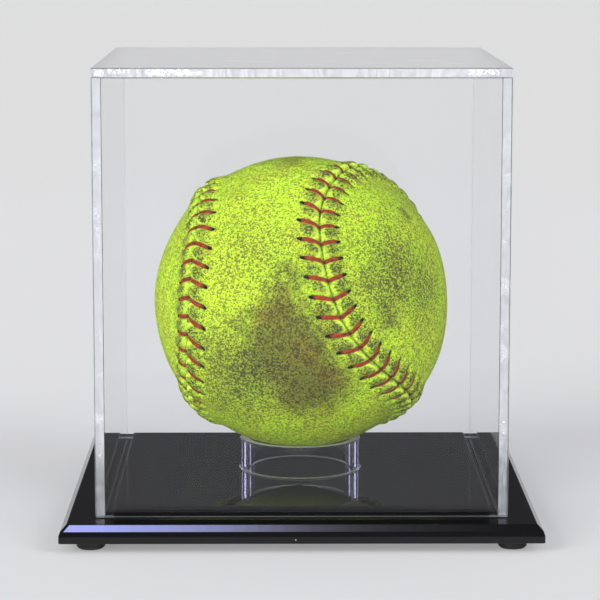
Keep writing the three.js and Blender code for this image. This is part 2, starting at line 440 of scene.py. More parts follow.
    def surface(self, color: object, roughness: object, **inputs: object) -> Socket:
        """A Principled shader.

        Args:
            color: a colour or a node's output.
            roughness: a number or a node's output.
            **inputs: its other inputs, by their names in SURFACE_INPUTS.

        Returns:
            The shader.
        """
        named = {"Base Color": color, "Roughness": roughness}
        named.update({SURFACE_INPUTS[name]: value for name, value in inputs.items()})
        return self.add("ShaderNodeBsdfPrincipled", named).outputs["BSDF"]

    def blend(self, share: object, first: Socket, second: Socket) -> Socket:
        """A shader between two others, by the second one's share."""
        return self.add("ShaderNodeMixShader", {0: share, 1: first, 2: second}).outputs["Shader"]

    def let_light_through(self, shader: Socket, shadow: Rgb) -> Socket:
        """A shader that lets the lamps light what lies behind it, with its shadow's colour."""
        through = self.add("ShaderNodeBsdfTransparent", {"Color": shadow}).outputs["BSDF"]
        return self.blend(self.add("ShaderNodeLightPath").outputs["Is Shadow Ray"], shader, through)

    def finish(self, shader: Socket) -> Material:
        """Ends the tree with a shader and returns the material."""
        self.add("ShaderNodeOutputMaterial", {"Surface": shader})
        return self.owner


# Finishes


@dataclass(frozen=True)
class BlackAcrylic:
    """Polished black acrylic with a little dust on it."""

    name: str = "black_acrylic"
    color: Rgb = (0.004, 0.004, 0.0045)
    dust: Rgb = (0.28, 0.28, 0.3)
    shine: float = 0.32
    speck_spacing: float = 9.0
    speck_share: float = 0.028
    speck_core: float = 0.4
    cloth_stretch: Point = (1.0, 0.12, 1.0)
    cloth_size: float = 1.6
    cloth_roughness: float = 0.03
    polish_roughness: float = 0.015

    def material(self) -> Material:
        """Builds the material."""
        nodes = Nodes(bpy.data.materials.new(self.name))
        spacing = nodes.cells(nodes.place(), self.speck_spacing).outputs["Distance"]
        specks = nodes.rise(spacing, self.speck_share, self.speck_share * self.speck_core)
        color = nodes.mix(specks, self.color, self.dust)
        cloth = nodes.noise(nodes.place(self.cloth_stretch), self.cloth_size, 3.0)
        roughness = nodes.rise(cloth, 0.35, 0.75, self.cloth_roughness, self.polish_roughness)
        return nodes.finish(nodes.surface(color, roughness, index=ACRYLIC_INDEX, shine=self.shine))


@dataclass(frozen=True)
class ClearAcrylic:
    """Clear acrylic that lets the lamps through, with faint wear."""

    name: str = "clear_acrylic"
    tint: Rgb = (0.975, 0.98, 0.986)
    wear_size: float = 2.2
    wear_roughness: float = 0.02
    shadow: Rgb = (0.94, 0.95, 0.955)
    shine: Rgb = (0.5, 0.5, 0.5)

    def material(self) -> Material:
        """Builds the material."""
        nodes = Nodes(bpy.data.materials.new(self.name))
        wear = nodes.rise(nodes.noise(nodes.place(), self.wear_size, 3.0), 0.5, 0.9, self.wear_roughness)
        glass = nodes.surface(self.tint, wear, index=ACRYLIC_INDEX, shine_tint=self.shine, clear=1.0)
        return nodes.finish(nodes.let_light_through(glass, self.shadow))


@dataclass(frozen=True)
class SawnEdge:
    """The cut edge of a clear sheet, scraped flat and left a little frosted."""

    name: str = "sawn_edge"
    tint: Rgb = (0.95, 0.955, 0.97)
    frost: Rgb = (0.85, 0.86, 0.9)
    shadow: Rgb = (0.8, 0.81, 0.82)
    scrape_size: float = 0.8
    scrape_stretch: Point = (1.0, 1.0, 0.25)
    scrape_depth: float = 0.05
    frosted: float = 0.26

    def material(self) -> Material:
        """Builds the material."""
        nodes = Nodes(bpy.data.materials.new(self.name))
        scrapes = nodes.noise(nodes.place(self.scrape_stretch), self.scrape_size, 4.0)
        glass = nodes.surface(self.tint, 0.3, index=ACRYLIC_INDEX, clear=1.0)
        frost = nodes.surface(self.frost, 0.5, normal=nodes.bump(scrapes, self.scrape_depth))
        edge = nodes.blend(nodes.rise(scrapes, 0.3, 0.7, self.frosted), glass, frost)
        return nodes.finish(nodes.let_light_through(edge, self.shadow))


@dataclass(frozen=True)
class ClearWithMarks:
    """White marks on a clear sheet, with nothing between them.

    The marks are grains of a size, gathered in clouds, and spread is how much of the sheet they take.
    """

    name: str
    color: Rgb = (0.86, 0.87, 0.9)
    grain: float = 0.5
    cloud: float = 5.0
    stretch: Point = (1.0, 1.0, 1.0)
    spread: float = 0.5
    density: float = 0.8
    cloud_start: float = 0.2
    cloud_slope: float = 0.55
    cloud_edge: float = 0.14
    rim_share: float = 0.7
    shade: float = 0.8

    def material(self) -> Material:
        """Builds the material."""
        nodes = Nodes(bpy.data.materials.new(self.name))
        where = nodes.place(self.stretch)
        grains = nodes.rise(nodes.noise(where, self.grain, 4.0), 0.44, 0.6)
        start = self.cloud_start + self.cloud_slope * (1.0 - self.spread)
        clouds = nodes.rise(nodes.noise(where, self.cloud, 2.0), start, start + self.cloud_edge)
        rim = nodes.rise(nodes.carried("rim"), 0.0, self.rim_share)
        shaded = tuple(self.shade * part for part in self.color)
        white = nodes.surface(nodes.mix(grains, shaded, self.color), 0.5)
        clear = nodes.add("ShaderNodeBsdfTransparent").outputs["BSDF"]
        return nodes.finish(nodes.blend(nodes.times(grains, clouds, rim, self.density), clear, white))


@dataclass(frozen=True)
class BlackRubber:
    """Moulded black rubber with a fine matt grain."""

    name: str = "black_rubber"
    color: Rgb = (0.014, 0.014, 0.013)
    worn: Rgb = (0.045, 0.045, 0.043)
    grain: float = 0.25
    chalk_size: float = 2.4

    def material(self) -> Material:
        """Builds the material."""
        nodes = Nodes(bpy.data.materials.new(self.name))
        where = nodes.place()
        chalk = nodes.rise(nodes.noise(where, self.chalk_size, 2.0), 0.5, 0.8, 0.6)
        normal = nodes.bump(nodes.noise(where, self.grain, 3.0), 0.05)
        return nodes.finish(nodes.surface(nodes.mix(chalk, self.color, self.worn), 0.72, normal=normal))


@dataclass(frozen=True)
class FoamCore:
    """The ball's moulded core, a fine closed foam."""

    name: str = "foam_core"
    color: Rgb = (0.2, 0.18, 0.09)
    pore: Rgb = (0.09, 0.08, 0.04)
    pore_size: float = 0.8

    def material(self) -> Material:
        """Builds the material."""
        nodes = Nodes(bpy.data.materials.new(self.name))
        pores = nodes.cells(nodes.place(), self.pore_size).outputs["Distance"]
        color = nodes.mix(nodes.rise(pores, 0.5, 0.2), self.color, self.pore)
        return nodes.finish(nodes.surface(color, 0.85, normal=nodes.bump(pores, 0.1)))


@dataclass(frozen=True)
class OpticHide:
    """Optic yellow hide, speckled all over with fine dirt and stained where it was handled.

    The colours shade, mottle and soot are multiplied with what lies below them, and the others cover it. The
    pillows' rims carry a painted highlight, and the valleys beside the legs, the seam's groove and the needle
    slits carry painted shade.
    """

    name: str = "optic_hide"
    bright: Rgb = (0.6, 0.92, 0.032)
    warm: Rgb = (0.65, 0.85, 0.036)
    shade: Rgb = (0.55, 0.5, 0.65)
    # Painted highlight on the pillows' rims by the seam.
    pillow_highlight: Rgb = (0.68, 0.95, 0.1)
    mottle: Rgb = (0.2, 0.18, 0.65)
    stain: Rgb = (0.15, 0.155, 0.02)
    brown: Rgb = (0.26, 0.18, 0.02)
    handled: Rgb = (0.24, 0.32, 0.03)
    soot: Rgb = (0.2, 0.2, 0.6)
    # Painted shade in the valleys beside the thread's legs.
    valley_and_shade: Rgb = (0.17, 0.22, 0.012)
    # Painted shade along the seam's groove.
    groove_shade: Rgb = (0.06, 0.045, 0.01)
    # Near black: painted shade inside the needle slits.
    slit: Rgb = (0.002, 0.002, 0.002)
    speck_size: float = 0.44
    shade_size: float = 0.42
    lump_size: float = 1.5
    blot_size: float = 5.0
    patch_size: float = 11.0
    clean_specks: float = 0.28
    patch_specks: float = 0.14
    stain_specks: float = 0.1
    scuff_specks: float = 0.25
    grime_specks: float = 0.14
    speck_strength: float = 0.74
    scuff_cover: float = 0.65
    grime_cover: float = 0.75
    speck_depth: float = 0.05
    lump_depth: float = 0.12

    def dirt(self, nodes: Nodes) -> dict[str, Socket]:
        """How dirty each point is.

        Args:
            nodes: the material's tree.

        Returns:
            The shares of stain and of brown in the colour, the share of dark specks, and how soiled it is.
        """
        where = nodes.place()
        patches = nodes.noise(where, self.patch_size, 3.0)
        blots = nodes.noise(where, self.blot_size, 4.0, 0.65)
        carried = nodes.carried("stain")
        stain = nodes.rise(nodes.plus(nodes.times(carried, 0.5), nodes.times(blots, 0.5)), 0.33, 0.67, 0.93)
        brown = nodes.times(nodes.rise(carried, 0.3, 0.8), nodes.rise(patches, 0.44, 0.64, 0.6))
        scuffed = nodes.times(nodes.carried("scuff"), self.scuff_specks)
        soiled = nodes.plus(nodes.times(stain, self.stain_specks), scuffed)
        general = nodes.plus(nodes.rise(patches, 0.4, 0.7, self.patch_specks), self.clean_specks)
        grimy = nodes.times(nodes.carried("grime"), self.grime_specks)
        specks = nodes.plus(general, soiled, grimy)
        return {"stain": stain, "brown": brown, "specks": specks, "soiled": soiled}

    def material(self) -> Material:
        """Builds the material."""
        nodes = Nodes(bpy.data.materials.new(self.name))
        where = nodes.place()
        dirt = self.dirt(nodes)
        grime = nodes.carried("grime")
        lumps = nodes.noise(where, self.lump_size, 3.0)
        specks = nodes.grains(where, self.speck_size)
        color = nodes.mix(nodes.rise(nodes.noise(where, self.patch_size), 0.35, 0.65), self.bright, self.warm)
        for share, cover in (
            (dirt["stain"], self.stain),
            (dirt["brown"], self.brown),
            (nodes.times(nodes.carried("scuff"), self.scuff_cover), self.handled),
            (nodes.times(grime, self.grime_cover), self.handled),
            # Painted shade in the valleys beside the legs.
            (nodes.carried("valley_and_shade"), self.valley_and_shade),
        ):
            color = nodes.mix(share, color, cover)
        shades = nodes.rise(nodes.grains(where, self.shade_size), 0.2, 1.0, 0.9)
        color = nodes.darken(shades, color, self.shade)
        strength = nodes.plus(nodes.most(dirt["soiled"], grime), self.speck_strength)
        speckle = nodes.times(nodes.dots(specks, dirt["specks"]), strength)
        color = nodes.darken(speckle, color, nodes.mix(grime, self.mottle, self.soot))
        for share, cover in (
            # A highlight painted on each pillow's rim by the seam.
            (nodes.carried("pillow_highlight"), self.pillow_highlight),
            # Painted shade along the seam's groove, broken up by the lumps.
            (nodes.times(nodes.carried("groove_shade"), nodes.rise(lumps, 0.35, 0.6)), self.groove_shade),
            # The needle slits are painted near black, as shade.
            (nodes.rise(nodes.carried("slit"), 0.3, 0.5), self.slit),
        ):
            color = nodes.mix(share, color, cover)
        roughness = nodes.rise(lumps, 0.3, 0.7, 0.72, 0.55)
        normal = nodes.bump(specks, self.speck_depth, nodes.bump(lumps, self.lump_depth))
        return nodes.finish(nodes.surface(color, roughness, shine=0.2, normal=normal))


@dataclass(frozen=True)
class RedThread:
    """Waxed two-ply thread with spots of dirt, painted highlights on its plies' crests and painted shade
    between them and where it sinks into the hide.
    """

    name: str = "red_thread"
    color: Rgb = (0.28, 0.032, 0.01)
    # Painted highlight on the crests of the thread's plies.
    light: Rgb = (0.42, 0.075, 0.02)
    # Spots of dirt, and also painted shade between the plies and where the thread sinks into the hide.
    dirt: Rgb = (0.05, 0.012, 0.006)
    dirt_size: float = 1.1
    ply_depth: float = 0.14

    def material(self) -> Material:
        """Builds the material."""
        nodes = Nodes(bpy.data.materials.new(self.name))
        ply = nodes.carried("ply")
        dirt = nodes.rise(nodes.noise(nodes.place(), self.dirt_size, 2.0), 0.45, 0.75, 0.7)
        # A highlight painted on the plies' crests, and shade painted in the crevices between them.
        color = nodes.mix(nodes.rise(ply, 0.35, 1.0, 0.7), self.color, self.light)
        color = nodes.mix(nodes.rise(ply, 0.25, 0.0, 0.7), color, self.dirt)
        # Painted shade where the thread sinks into the groove and the slits, with spots of dirt.
        color = nodes.mix(nodes.most(dirt, nodes.carried("sunk_shade")), color, self.dirt)
        return nodes.finish(nodes.surface(color, 0.65, shine=0.1, normal=nodes.bump(ply, self.ply_depth)))


# Camera and light


@dataclass(frozen=True)
class Viewpoint:
    """The photograph's camera, in millimetres and degrees."""

    place: Point = (-7.309, -862.429, 194.967)
    yaw: float = 0.484
    pitch: float = 8.343
    roll: float = 0.023
    focal_pixels: float = 2607.931
    image_pixels: float = 600.0
    sensor: float = 36.0
    clip: tuple[float, float] = (0.01, 60.0)

    def turn(self) -> Matrix:
        """The camera's rotation."""
        yaw = Matrix.Rotation(-math.radians(self.yaw), 4, "Z")
        pitch = Matrix.Rotation(math.radians(90.0 - self.pitch), 4, "X")
        return yaw @ pitch @ Matrix.Rotation(math.radians(self.roll), 4, "Z")

    def ray(self, pixel: Pixel) -> Vector:
        """The direction in which a pixel of the photograph looks."""
        half = self.image_pixels / 2
        toward = Vector((pixel[0] - half, half - pixel[1], -self.focal_pixels))
        return (self.turn().to_3x3() @ toward).normalized()

    def make(self) -> None:
        """Adds the camera to the scene."""
        deselect()
        bpy.ops.object.camera_add(location=Vector(self.place) * MM, rotation=self.turn().to_euler())
        camera = bpy.context.active_object
        camera.name = "photo_camera"
        camera.data.sensor_width = self.sensor
        camera.data.lens = self.focal_pixels / self.image_pixels * self.sensor
        camera.data.clip_start, camera.data.clip_end = self.clip
        bpy.context.scene.camera = camera


def hang(kind: str, name: str, place: Point, aim: Point, energy: float) -> Piece:
    """Adds a lamp that faces a point.

    Args:
        kind: Blender's name of the lamp's type.
        name: the lamp's name.
        place: where it hangs, in metres.
        aim: the point that it faces, in metres.
        energy: its power or strength.

    Returns:
        The lamp.
    """
    deselect()
    facing = (Vector(aim) - Vector(place)).to_track_quat("-Z", "Y").to_euler()
    bpy.ops.object.light_add(type=kind, location=place, rotation=facing)
    lamp = bpy.context.active_object
    lamp.name = name
    lamp.data.energy = energy
    return lamp


@dataclass(frozen=True)
class Lamp:
    """A soft lamp: a panel that faces a point, in metres and watts."""

    name: str
    place: Point
    size: tuple[float, float]
    power: float
    color: Rgb
    aim: Point = (0.0, 0.0, 0.06)
    mirrored: bool = True

    def make(self) -> None:
        """Adds the lamp to the scene."""
        lamp = hang("AREA", self.name, self.place, self.aim, self.power)
        lamp.data.shape = "RECTANGLE"
        lamp.data.size, lamp.data.size_y = self.size
        lamp.data.color = self.color
        lamp.visible_glossy = self.mirrored


@dataclass(frozen=True)
class Sun:
    """A far lamp with soft shadows, by the direction that its light comes from.

    Polished and clear pieces don't show it, because its disc would stand in them as a hard patch.
    """

    name: str
    place: Point
    strength: float
    spread: float

    def make(self) -> None:
        """Adds the lamp to the scene."""
        lamp = hang("SUN", self.name, self.place, (0.0, 0.0, 0.0), self.strength)
        lamp.data.angle = math.radians(self.spread)
        lamp.visible_glossy = False
        lamp.visible_transmission = False


@dataclass
class Studio:
    """A plain pale floor and background under soft light.

    The strips are a row of narrow lamps that only the base's bevel mirrors toward the camera: each row
    of strip_glows is a place along them with its brightness and colour.
    """

    floor_color: Rgb = (0.6, 0.6, 0.605)
    floor_glow: Rgb = (0.9, 0.9, 0.91)
    floor_glow_share: float = 0.3
    floor_size: float = 60.0
    backdrop: Rgb = (0.66, 0.66, 0.67)
    overhead: Rgb = (0.06, 0.06, 0.064)
    overhead_heights: tuple[float, float] = (0.1, 0.19)
    ambient: float = 0.59
    suns: tuple[Sun, ...] = (
        Sun("left_key", (-1.05, -1.1, 0.6), 2.85, 34.0),
        Sun("right_key", (1.0, -0.8, 0.7), 1.58, 30.0),
        Sun("front_fill", (-0.15, -1.2, 0.04), 3.8, 15.0),
    )
    rim_place: Point = (0.525, 0.85, 0.225)
    rim_size: tuple[float, float] = (0.15, 0.11)
    rim_power: float = 0.2
    rim_color: Rgb = (0.64, 0.64, 1.0)
    strip_back: float = -0.307
    strip_height: float = 0.8
    strip_size: tuple[float, float] = (0.008, 0.034)
    strip_aim: tuple[float, float] = (-0.075, 0.0)
    strip_power: float = math.pi / 3
    strip_glows: tuple[tuple[float, float, Rgb], ...] = (
        (-0.172, 104.0, (0.48, 0.51, 1.0)),
        (-0.153, 106.0, (0.46, 0.49, 1.0)),
        (-0.12, 108.0, (0.4, 0.44, 1.0)),
        (-0.092, 84.0, (0.42, 0.46, 1.0)),
        (-0.065, 64.0, (0.48, 0.51, 1.0)),
        (-0.041, 48.0, (0.5, 0.53, 1.0)),
        (-0.021, 30.0, (0.58, 0.6, 1.0)),
        (0.004, 15.6, (0.65, 0.65, 1.0)),
        (0.016, 10.4, (0.73, 0.72, 1.0)),
        (0.029, 7.4, (0.8, 0.76, 1.0)),
        (0.042, 5.0, (0.87, 0.8, 1.0)),
        (0.067, 2.6, (0.85, 0.8, 1.0)),
        (0.092, 1.25, (1.0, 0.92, 1.0)),
        (0.13, 0.25, (1.0, 1.0, 1.0)),
        (0.146, 0.05, (1.0, 1.0, 1.0)),
    )

    def world(self) -> None:
        """Lights the scene evenly, and shows a backdrop behind the object that darkens overhead."""
        world = bpy.data.worlds.new("studio")
        bpy.context.scene.world = world
        nodes = Nodes(world)
        direction = nodes.add("ShaderNodeTexCoord").outputs["Generated"]
        height = nodes.add("ShaderNodeSeparateXYZ", {"Vector": direction}).outputs["Z"]
        shown = nodes.mix(nodes.rise(height, *self.overhead_heights), self.backdrop, self.overhead)
        light = nodes.add("ShaderNodeBackground", {"Strength": self.ambient}).outputs[0]
        backdrop = nodes.add("ShaderNodeBackground", {"Color": shown}).outputs[0]
        nodes.add("ShaderNodeOutputWorld", {"Surface": nodes.blend(nodes.seen(), light, backdrop)})

    def floor(self) -> None:
        """Adds the floor that the case stands on."""
        deselect()
        bpy.ops.mesh.primitive_plane_add(size=self.floor_size, location=(0.0, 0.0, 0.0))
        floor = new_piece("floor")
        nodes = Nodes(bpy.data.materials.new("pale_floor"))
        lit = nodes.add("ShaderNodeBsdfDiffuse", {"Color": self.floor_color}).outputs["BSDF"]
        glow = nodes.add("ShaderNodeEmission", {"Color": self.floor_glow}).outputs["Emission"]
        shader = nodes.blend(nodes.times(nodes.seen(), self.floor_glow_share), lit, glow)
        floor.data.materials.append(nodes.finish(shader))

    def rims(self) -> list[Lamp]:
        """The two lamps behind the case that draw bright lines down the ring's sides."""
        across, back, height = self.rim_place
        alike = (self.rim_size, self.rim_power, self.rim_color)
        return [
            Lamp(name, (side * across, back, height), *alike, mirrored=False)
            for name, side in (("rear_left", -1), ("rear_right", 1))
        ]

    def strips(self) -> list[Lamp]:
        """The strip lamps, from left to right."""
        places, glows, colors = zip(*self.strip_glows)
        width, depth = self.strip_size
        lamps = []
        for middle in np.arange(places[0] + width / 2, places[-1], width).tolist():
            power = float(np.interp(middle, places, glows)) * self.strip_power * width * depth
            color = tuple(float(np.interp(middle, places, parts)) for parts in zip(*colors))
            place = (middle, self.strip_back, self.strip_height)
            aim = (middle, *self.strip_aim)
            lamps.append(Lamp(f"strip_{len(lamps) + 1}", place, self.strip_size, power, color, aim))
        return lamps

    def build(self) -> None:
        """Adds the floor, the background and the lamps."""
        bpy.context.scene.view_settings.view_transform = "Standard"
        self.world()
        self.floor()
        for lamp in (*self.suns, *self.rims(), *self.strips()):
            lamp.make()


# Base


@dataclass
class Base:
    """The black plate and riser, the clear ring on them and the feet below."""

    body: str = "base"
    bevel_width: float = 1.9
    bevel_height: float = 2.0
    shoulder_inset: float = 0.5
    shoulder_share: float = 0.6
    corner: float = 0.9
    corner_segments: int = 4
    edge_ease: float = 0.22
    riser_ease: float = 0.32
    ring_wall: float = 3.0
    ring_ease: float = 0.35
    ring_facets: int = 144
    rim_steps: int = 4
    bead_gap: float = 0.01
    bead_share: float = 0.42
    bead_hollow: float = 0.34
    bead_swell: float = 0.16
    bead_waves: tuple[int, int] = (5, 3)
    bead_start: float = 0.7
    foot_facets: int = 48
    foot_ease: float = 0.7
    foot_round: float = 0.12
    foot_recess: float = 0.35
    foot_recess_share: float = 0.55
    foot_lip: tuple[float, float] = (0.4, 0.3)
    foot_draft: float = 0.7
    black: BlackAcrylic = field(default_factory=BlackAcrylic)
    mirror: BlackAcrylic = field(default_factory=lambda: BlackAcrylic("black_riser", shine=0.5))
    clear: ClearAcrylic = field(default_factory=lambda: ClearAcrylic("clear_ring"))
    rim: SawnEdge = field(
        default_factory=lambda: SawnEdge("turned_rim", frost=(0.95, 0.95, 1.0), frosted=1.0)
    )
    seat: SawnEdge = field(default_factory=lambda: SawnEdge("cemented_foot", frosted=0.4))
    cement: ClearAcrylic = field(
        default_factory=lambda: ClearAcrylic(
            "cured_cement", tint=(0.96, 0.965, 0.975), wear_size=0.7, wear_roughness=0.12
        )
    )
    rubber: BlackRubber = field(default_factory=BlackRubber)

    def cornered(self, name: str, low: Vector, high: Vector) -> Piece:
        """Adds a block with rounded upright edges.

        Args:
            name: the piece's name.
            low: the lowest corner in metres.
            high: the highest corner in metres.

        Returns:
            The block.
        """
        piece = block(name, low, high)
        edit(piece, edges=lambda first, last: (first.xy - last.xy).length < 1e-6)
        bpy.ops.mesh.bevel(offset=self.corner * MM, segments=self.corner_segments, affect="EDGES")
        bpy.ops.object.mode_set(mode="OBJECT")
        return piece

    def raise_top(self, piece: Piece, top: float, inset: float) -> None:
        """Extrudes a plate's upper face, and draws it in on all sides.

        Args:
            piece: the plate.
            top: the new height in metres.
            inset: how far the new face is drawn in, in metres.
        """
        level = max(vertex.co.z for vertex in piece.data.vertices)
        reach = max(vertex.co.x for vertex in piece.data.vertices if vertex.co.z > level - 1e-6)
        edit(piece, faces=lambda middle, normal: normal.z > 0.9 and middle.z > level - 1e-6)
        bpy.ops.mesh.extrude_region_move(TRANSFORM_OT_translate={"value": (0.0, 0.0, top - level)})
        share = (reach - inset) / reach
        bpy.ops.transform.resize(value=(share, share, 1.0), center_override=(0.0, 0.0, top))
        bpy.ops.object.mode_set(mode="OBJECT")

    def plate(self) -> Piece:
        """The plate: a block whose upper part steps in at the shoulder and slopes in at the bevel."""
        low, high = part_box("base_plate")
        bevel_foot = high.z - self.bevel_height * MM
        shoulder = low.z + (bevel_foot - low.z) * self.shoulder_share
        piece = self.cornered("base_plate_polished", low, Vector((high.x, high.y, shoulder)))
        self.raise_top(piece, bevel_foot, self.shoulder_inset * MM)
        self.raise_top(piece, high.z, self.bevel_width * MM)
        ease_edges(piece, self.edge_ease, segments=4, angle=8.0)
        return piece

    def riser(self) -> Piece:
        """The riser: a sheet with polished corners and edges."""
        piece = self.cornered("riser_plate_polished", *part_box("riser_plate"))
        ease_edges(piece, self.riser_ease, segments=4)
        return piece

    def ring(self) -> Piece:
        """The ring: a turned tube with a rounded rim and a plain foot."""
        low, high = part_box("ring_stand")
        bore = high.x - self.ring_wall * MM
        ease = self.ring_ease * MM
        outline = [(bore, low.z), (high.x, low.z)]
        for middle, start in ((high.x - ease, 0.0), (bore + ease, math.pi / 2)):
            for step in range(self.rim_steps + 1):
                angle = start + math.pi / 2 * step / self.rim_steps
                outline.append((middle + ease * math.cos(angle), high.z - ease + ease * math.sin(angle)))
        piece = spun("ring_stand_polished", outline, self.ring_facets)
        shade(piece)
        return piece

    def bead(self) -> Piece:
        """The fillet of cement that has run out round the ring's foot, a little more in some places."""
        low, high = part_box("ring_cement_bead")
        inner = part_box("ring_stand")[1].x + self.bead_gap * MM
        run = self.bead_share * (high.x - inner)
        rise = self.bead_share * (high.z - low.z)
        outline = [
            (inner, low.z),
            (inner + run, low.z),
            (inner + self.bead_hollow * run, low.z + self.bead_hollow * rise),
            (inner, low.z + rise),
        ]
        piece = spun("ring_cement_bead_cured", outline, self.ring_facets)
        places = points_of(piece)
        angle = np.arctan2(places[:, 1], places[:, 0])
        many, few = self.bead_waves
        wave = np.sin(many * angle + self.bead_start) * np.sin(few * angle)
        swell = 1.0 - self.bead_swell * (1.0 + wave) / 2
        radius = inner + (np.hypot(places[:, 0], places[:, 1]) - inner) * swell
        places[:, 0] = radius * np.cos(angle)
        places[:, 1] = radius * np.sin(angle)
        move_points(piece, places)
        shade(piece, angle=60.0, weighted=False)
        return piece

    def foot(self, node: str) -> Piece:
        """A rubber foot: a turned block with a soft lower edge and a shallow hollow under it.

        Args:
            node: the frame's node that it stands for.

        Returns:
            The foot.
        """
        low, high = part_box(node)
        middle = (low + high) / 2
        radius = (high.x - low.x) / 2
        hollow = radius * self.foot_recess_share
        lip_in, lip_down = self.foot_lip
        outline = [
            (0.0, low.z + self.foot_recess * MM),
            (hollow, low.z + self.foot_recess * MM),
            (hollow + self.foot_recess * MM, low.z),
            (radius - self.foot_ease * MM, low.z),
            (radius, low.z + self.foot_ease * MM),
            (radius - lip_in * MM, high.z - lip_down * MM),
            (radius - self.foot_draft * MM, high.z),
            (0.0, high.z),
        ]
        piece = spun(f"{node}_moulded", outline, self.foot_facets)
        ease_edges(piece, self.foot_round, segments=2, angle=25.0)
        piece.data.transform(Matrix.Translation((middle.x, middle.y, 0.0)))
        return piece

    def build(self) -> None:
        """Makes and dresses every piece of the base."""
        dress(self.plate(), self.black.material(), self.body, "black_acrylic", "base_plate")
        dress(self.riser(), self.mirror.material(), self.body, "black_acrylic", "riser_plate")
        ring = self.ring()
        dress(ring, self.clear.material(), self.body, "clear_acrylic", "ring_stand")
        ring.data.materials.append(self.rim.material())
        ring.data.materials.append(self.seat.material())
        for face in ring.data.polygons:
            face.material_index = int(face.normal.z > 0.999) + 2 * int(face.normal.z < -0.999)
        dress(self.bead(), self.cement.material(), self.body, "cured_cement", "ring_cement_bead")
        rubber = self.rubber.material()
        for depth in ("front", "rear"):
            for width in ("left", "right"):
                node = f"foot_{depth}_{width}"
                dress(self.foot(node), rubber, self.body, "black_rubber", node)


# Cover


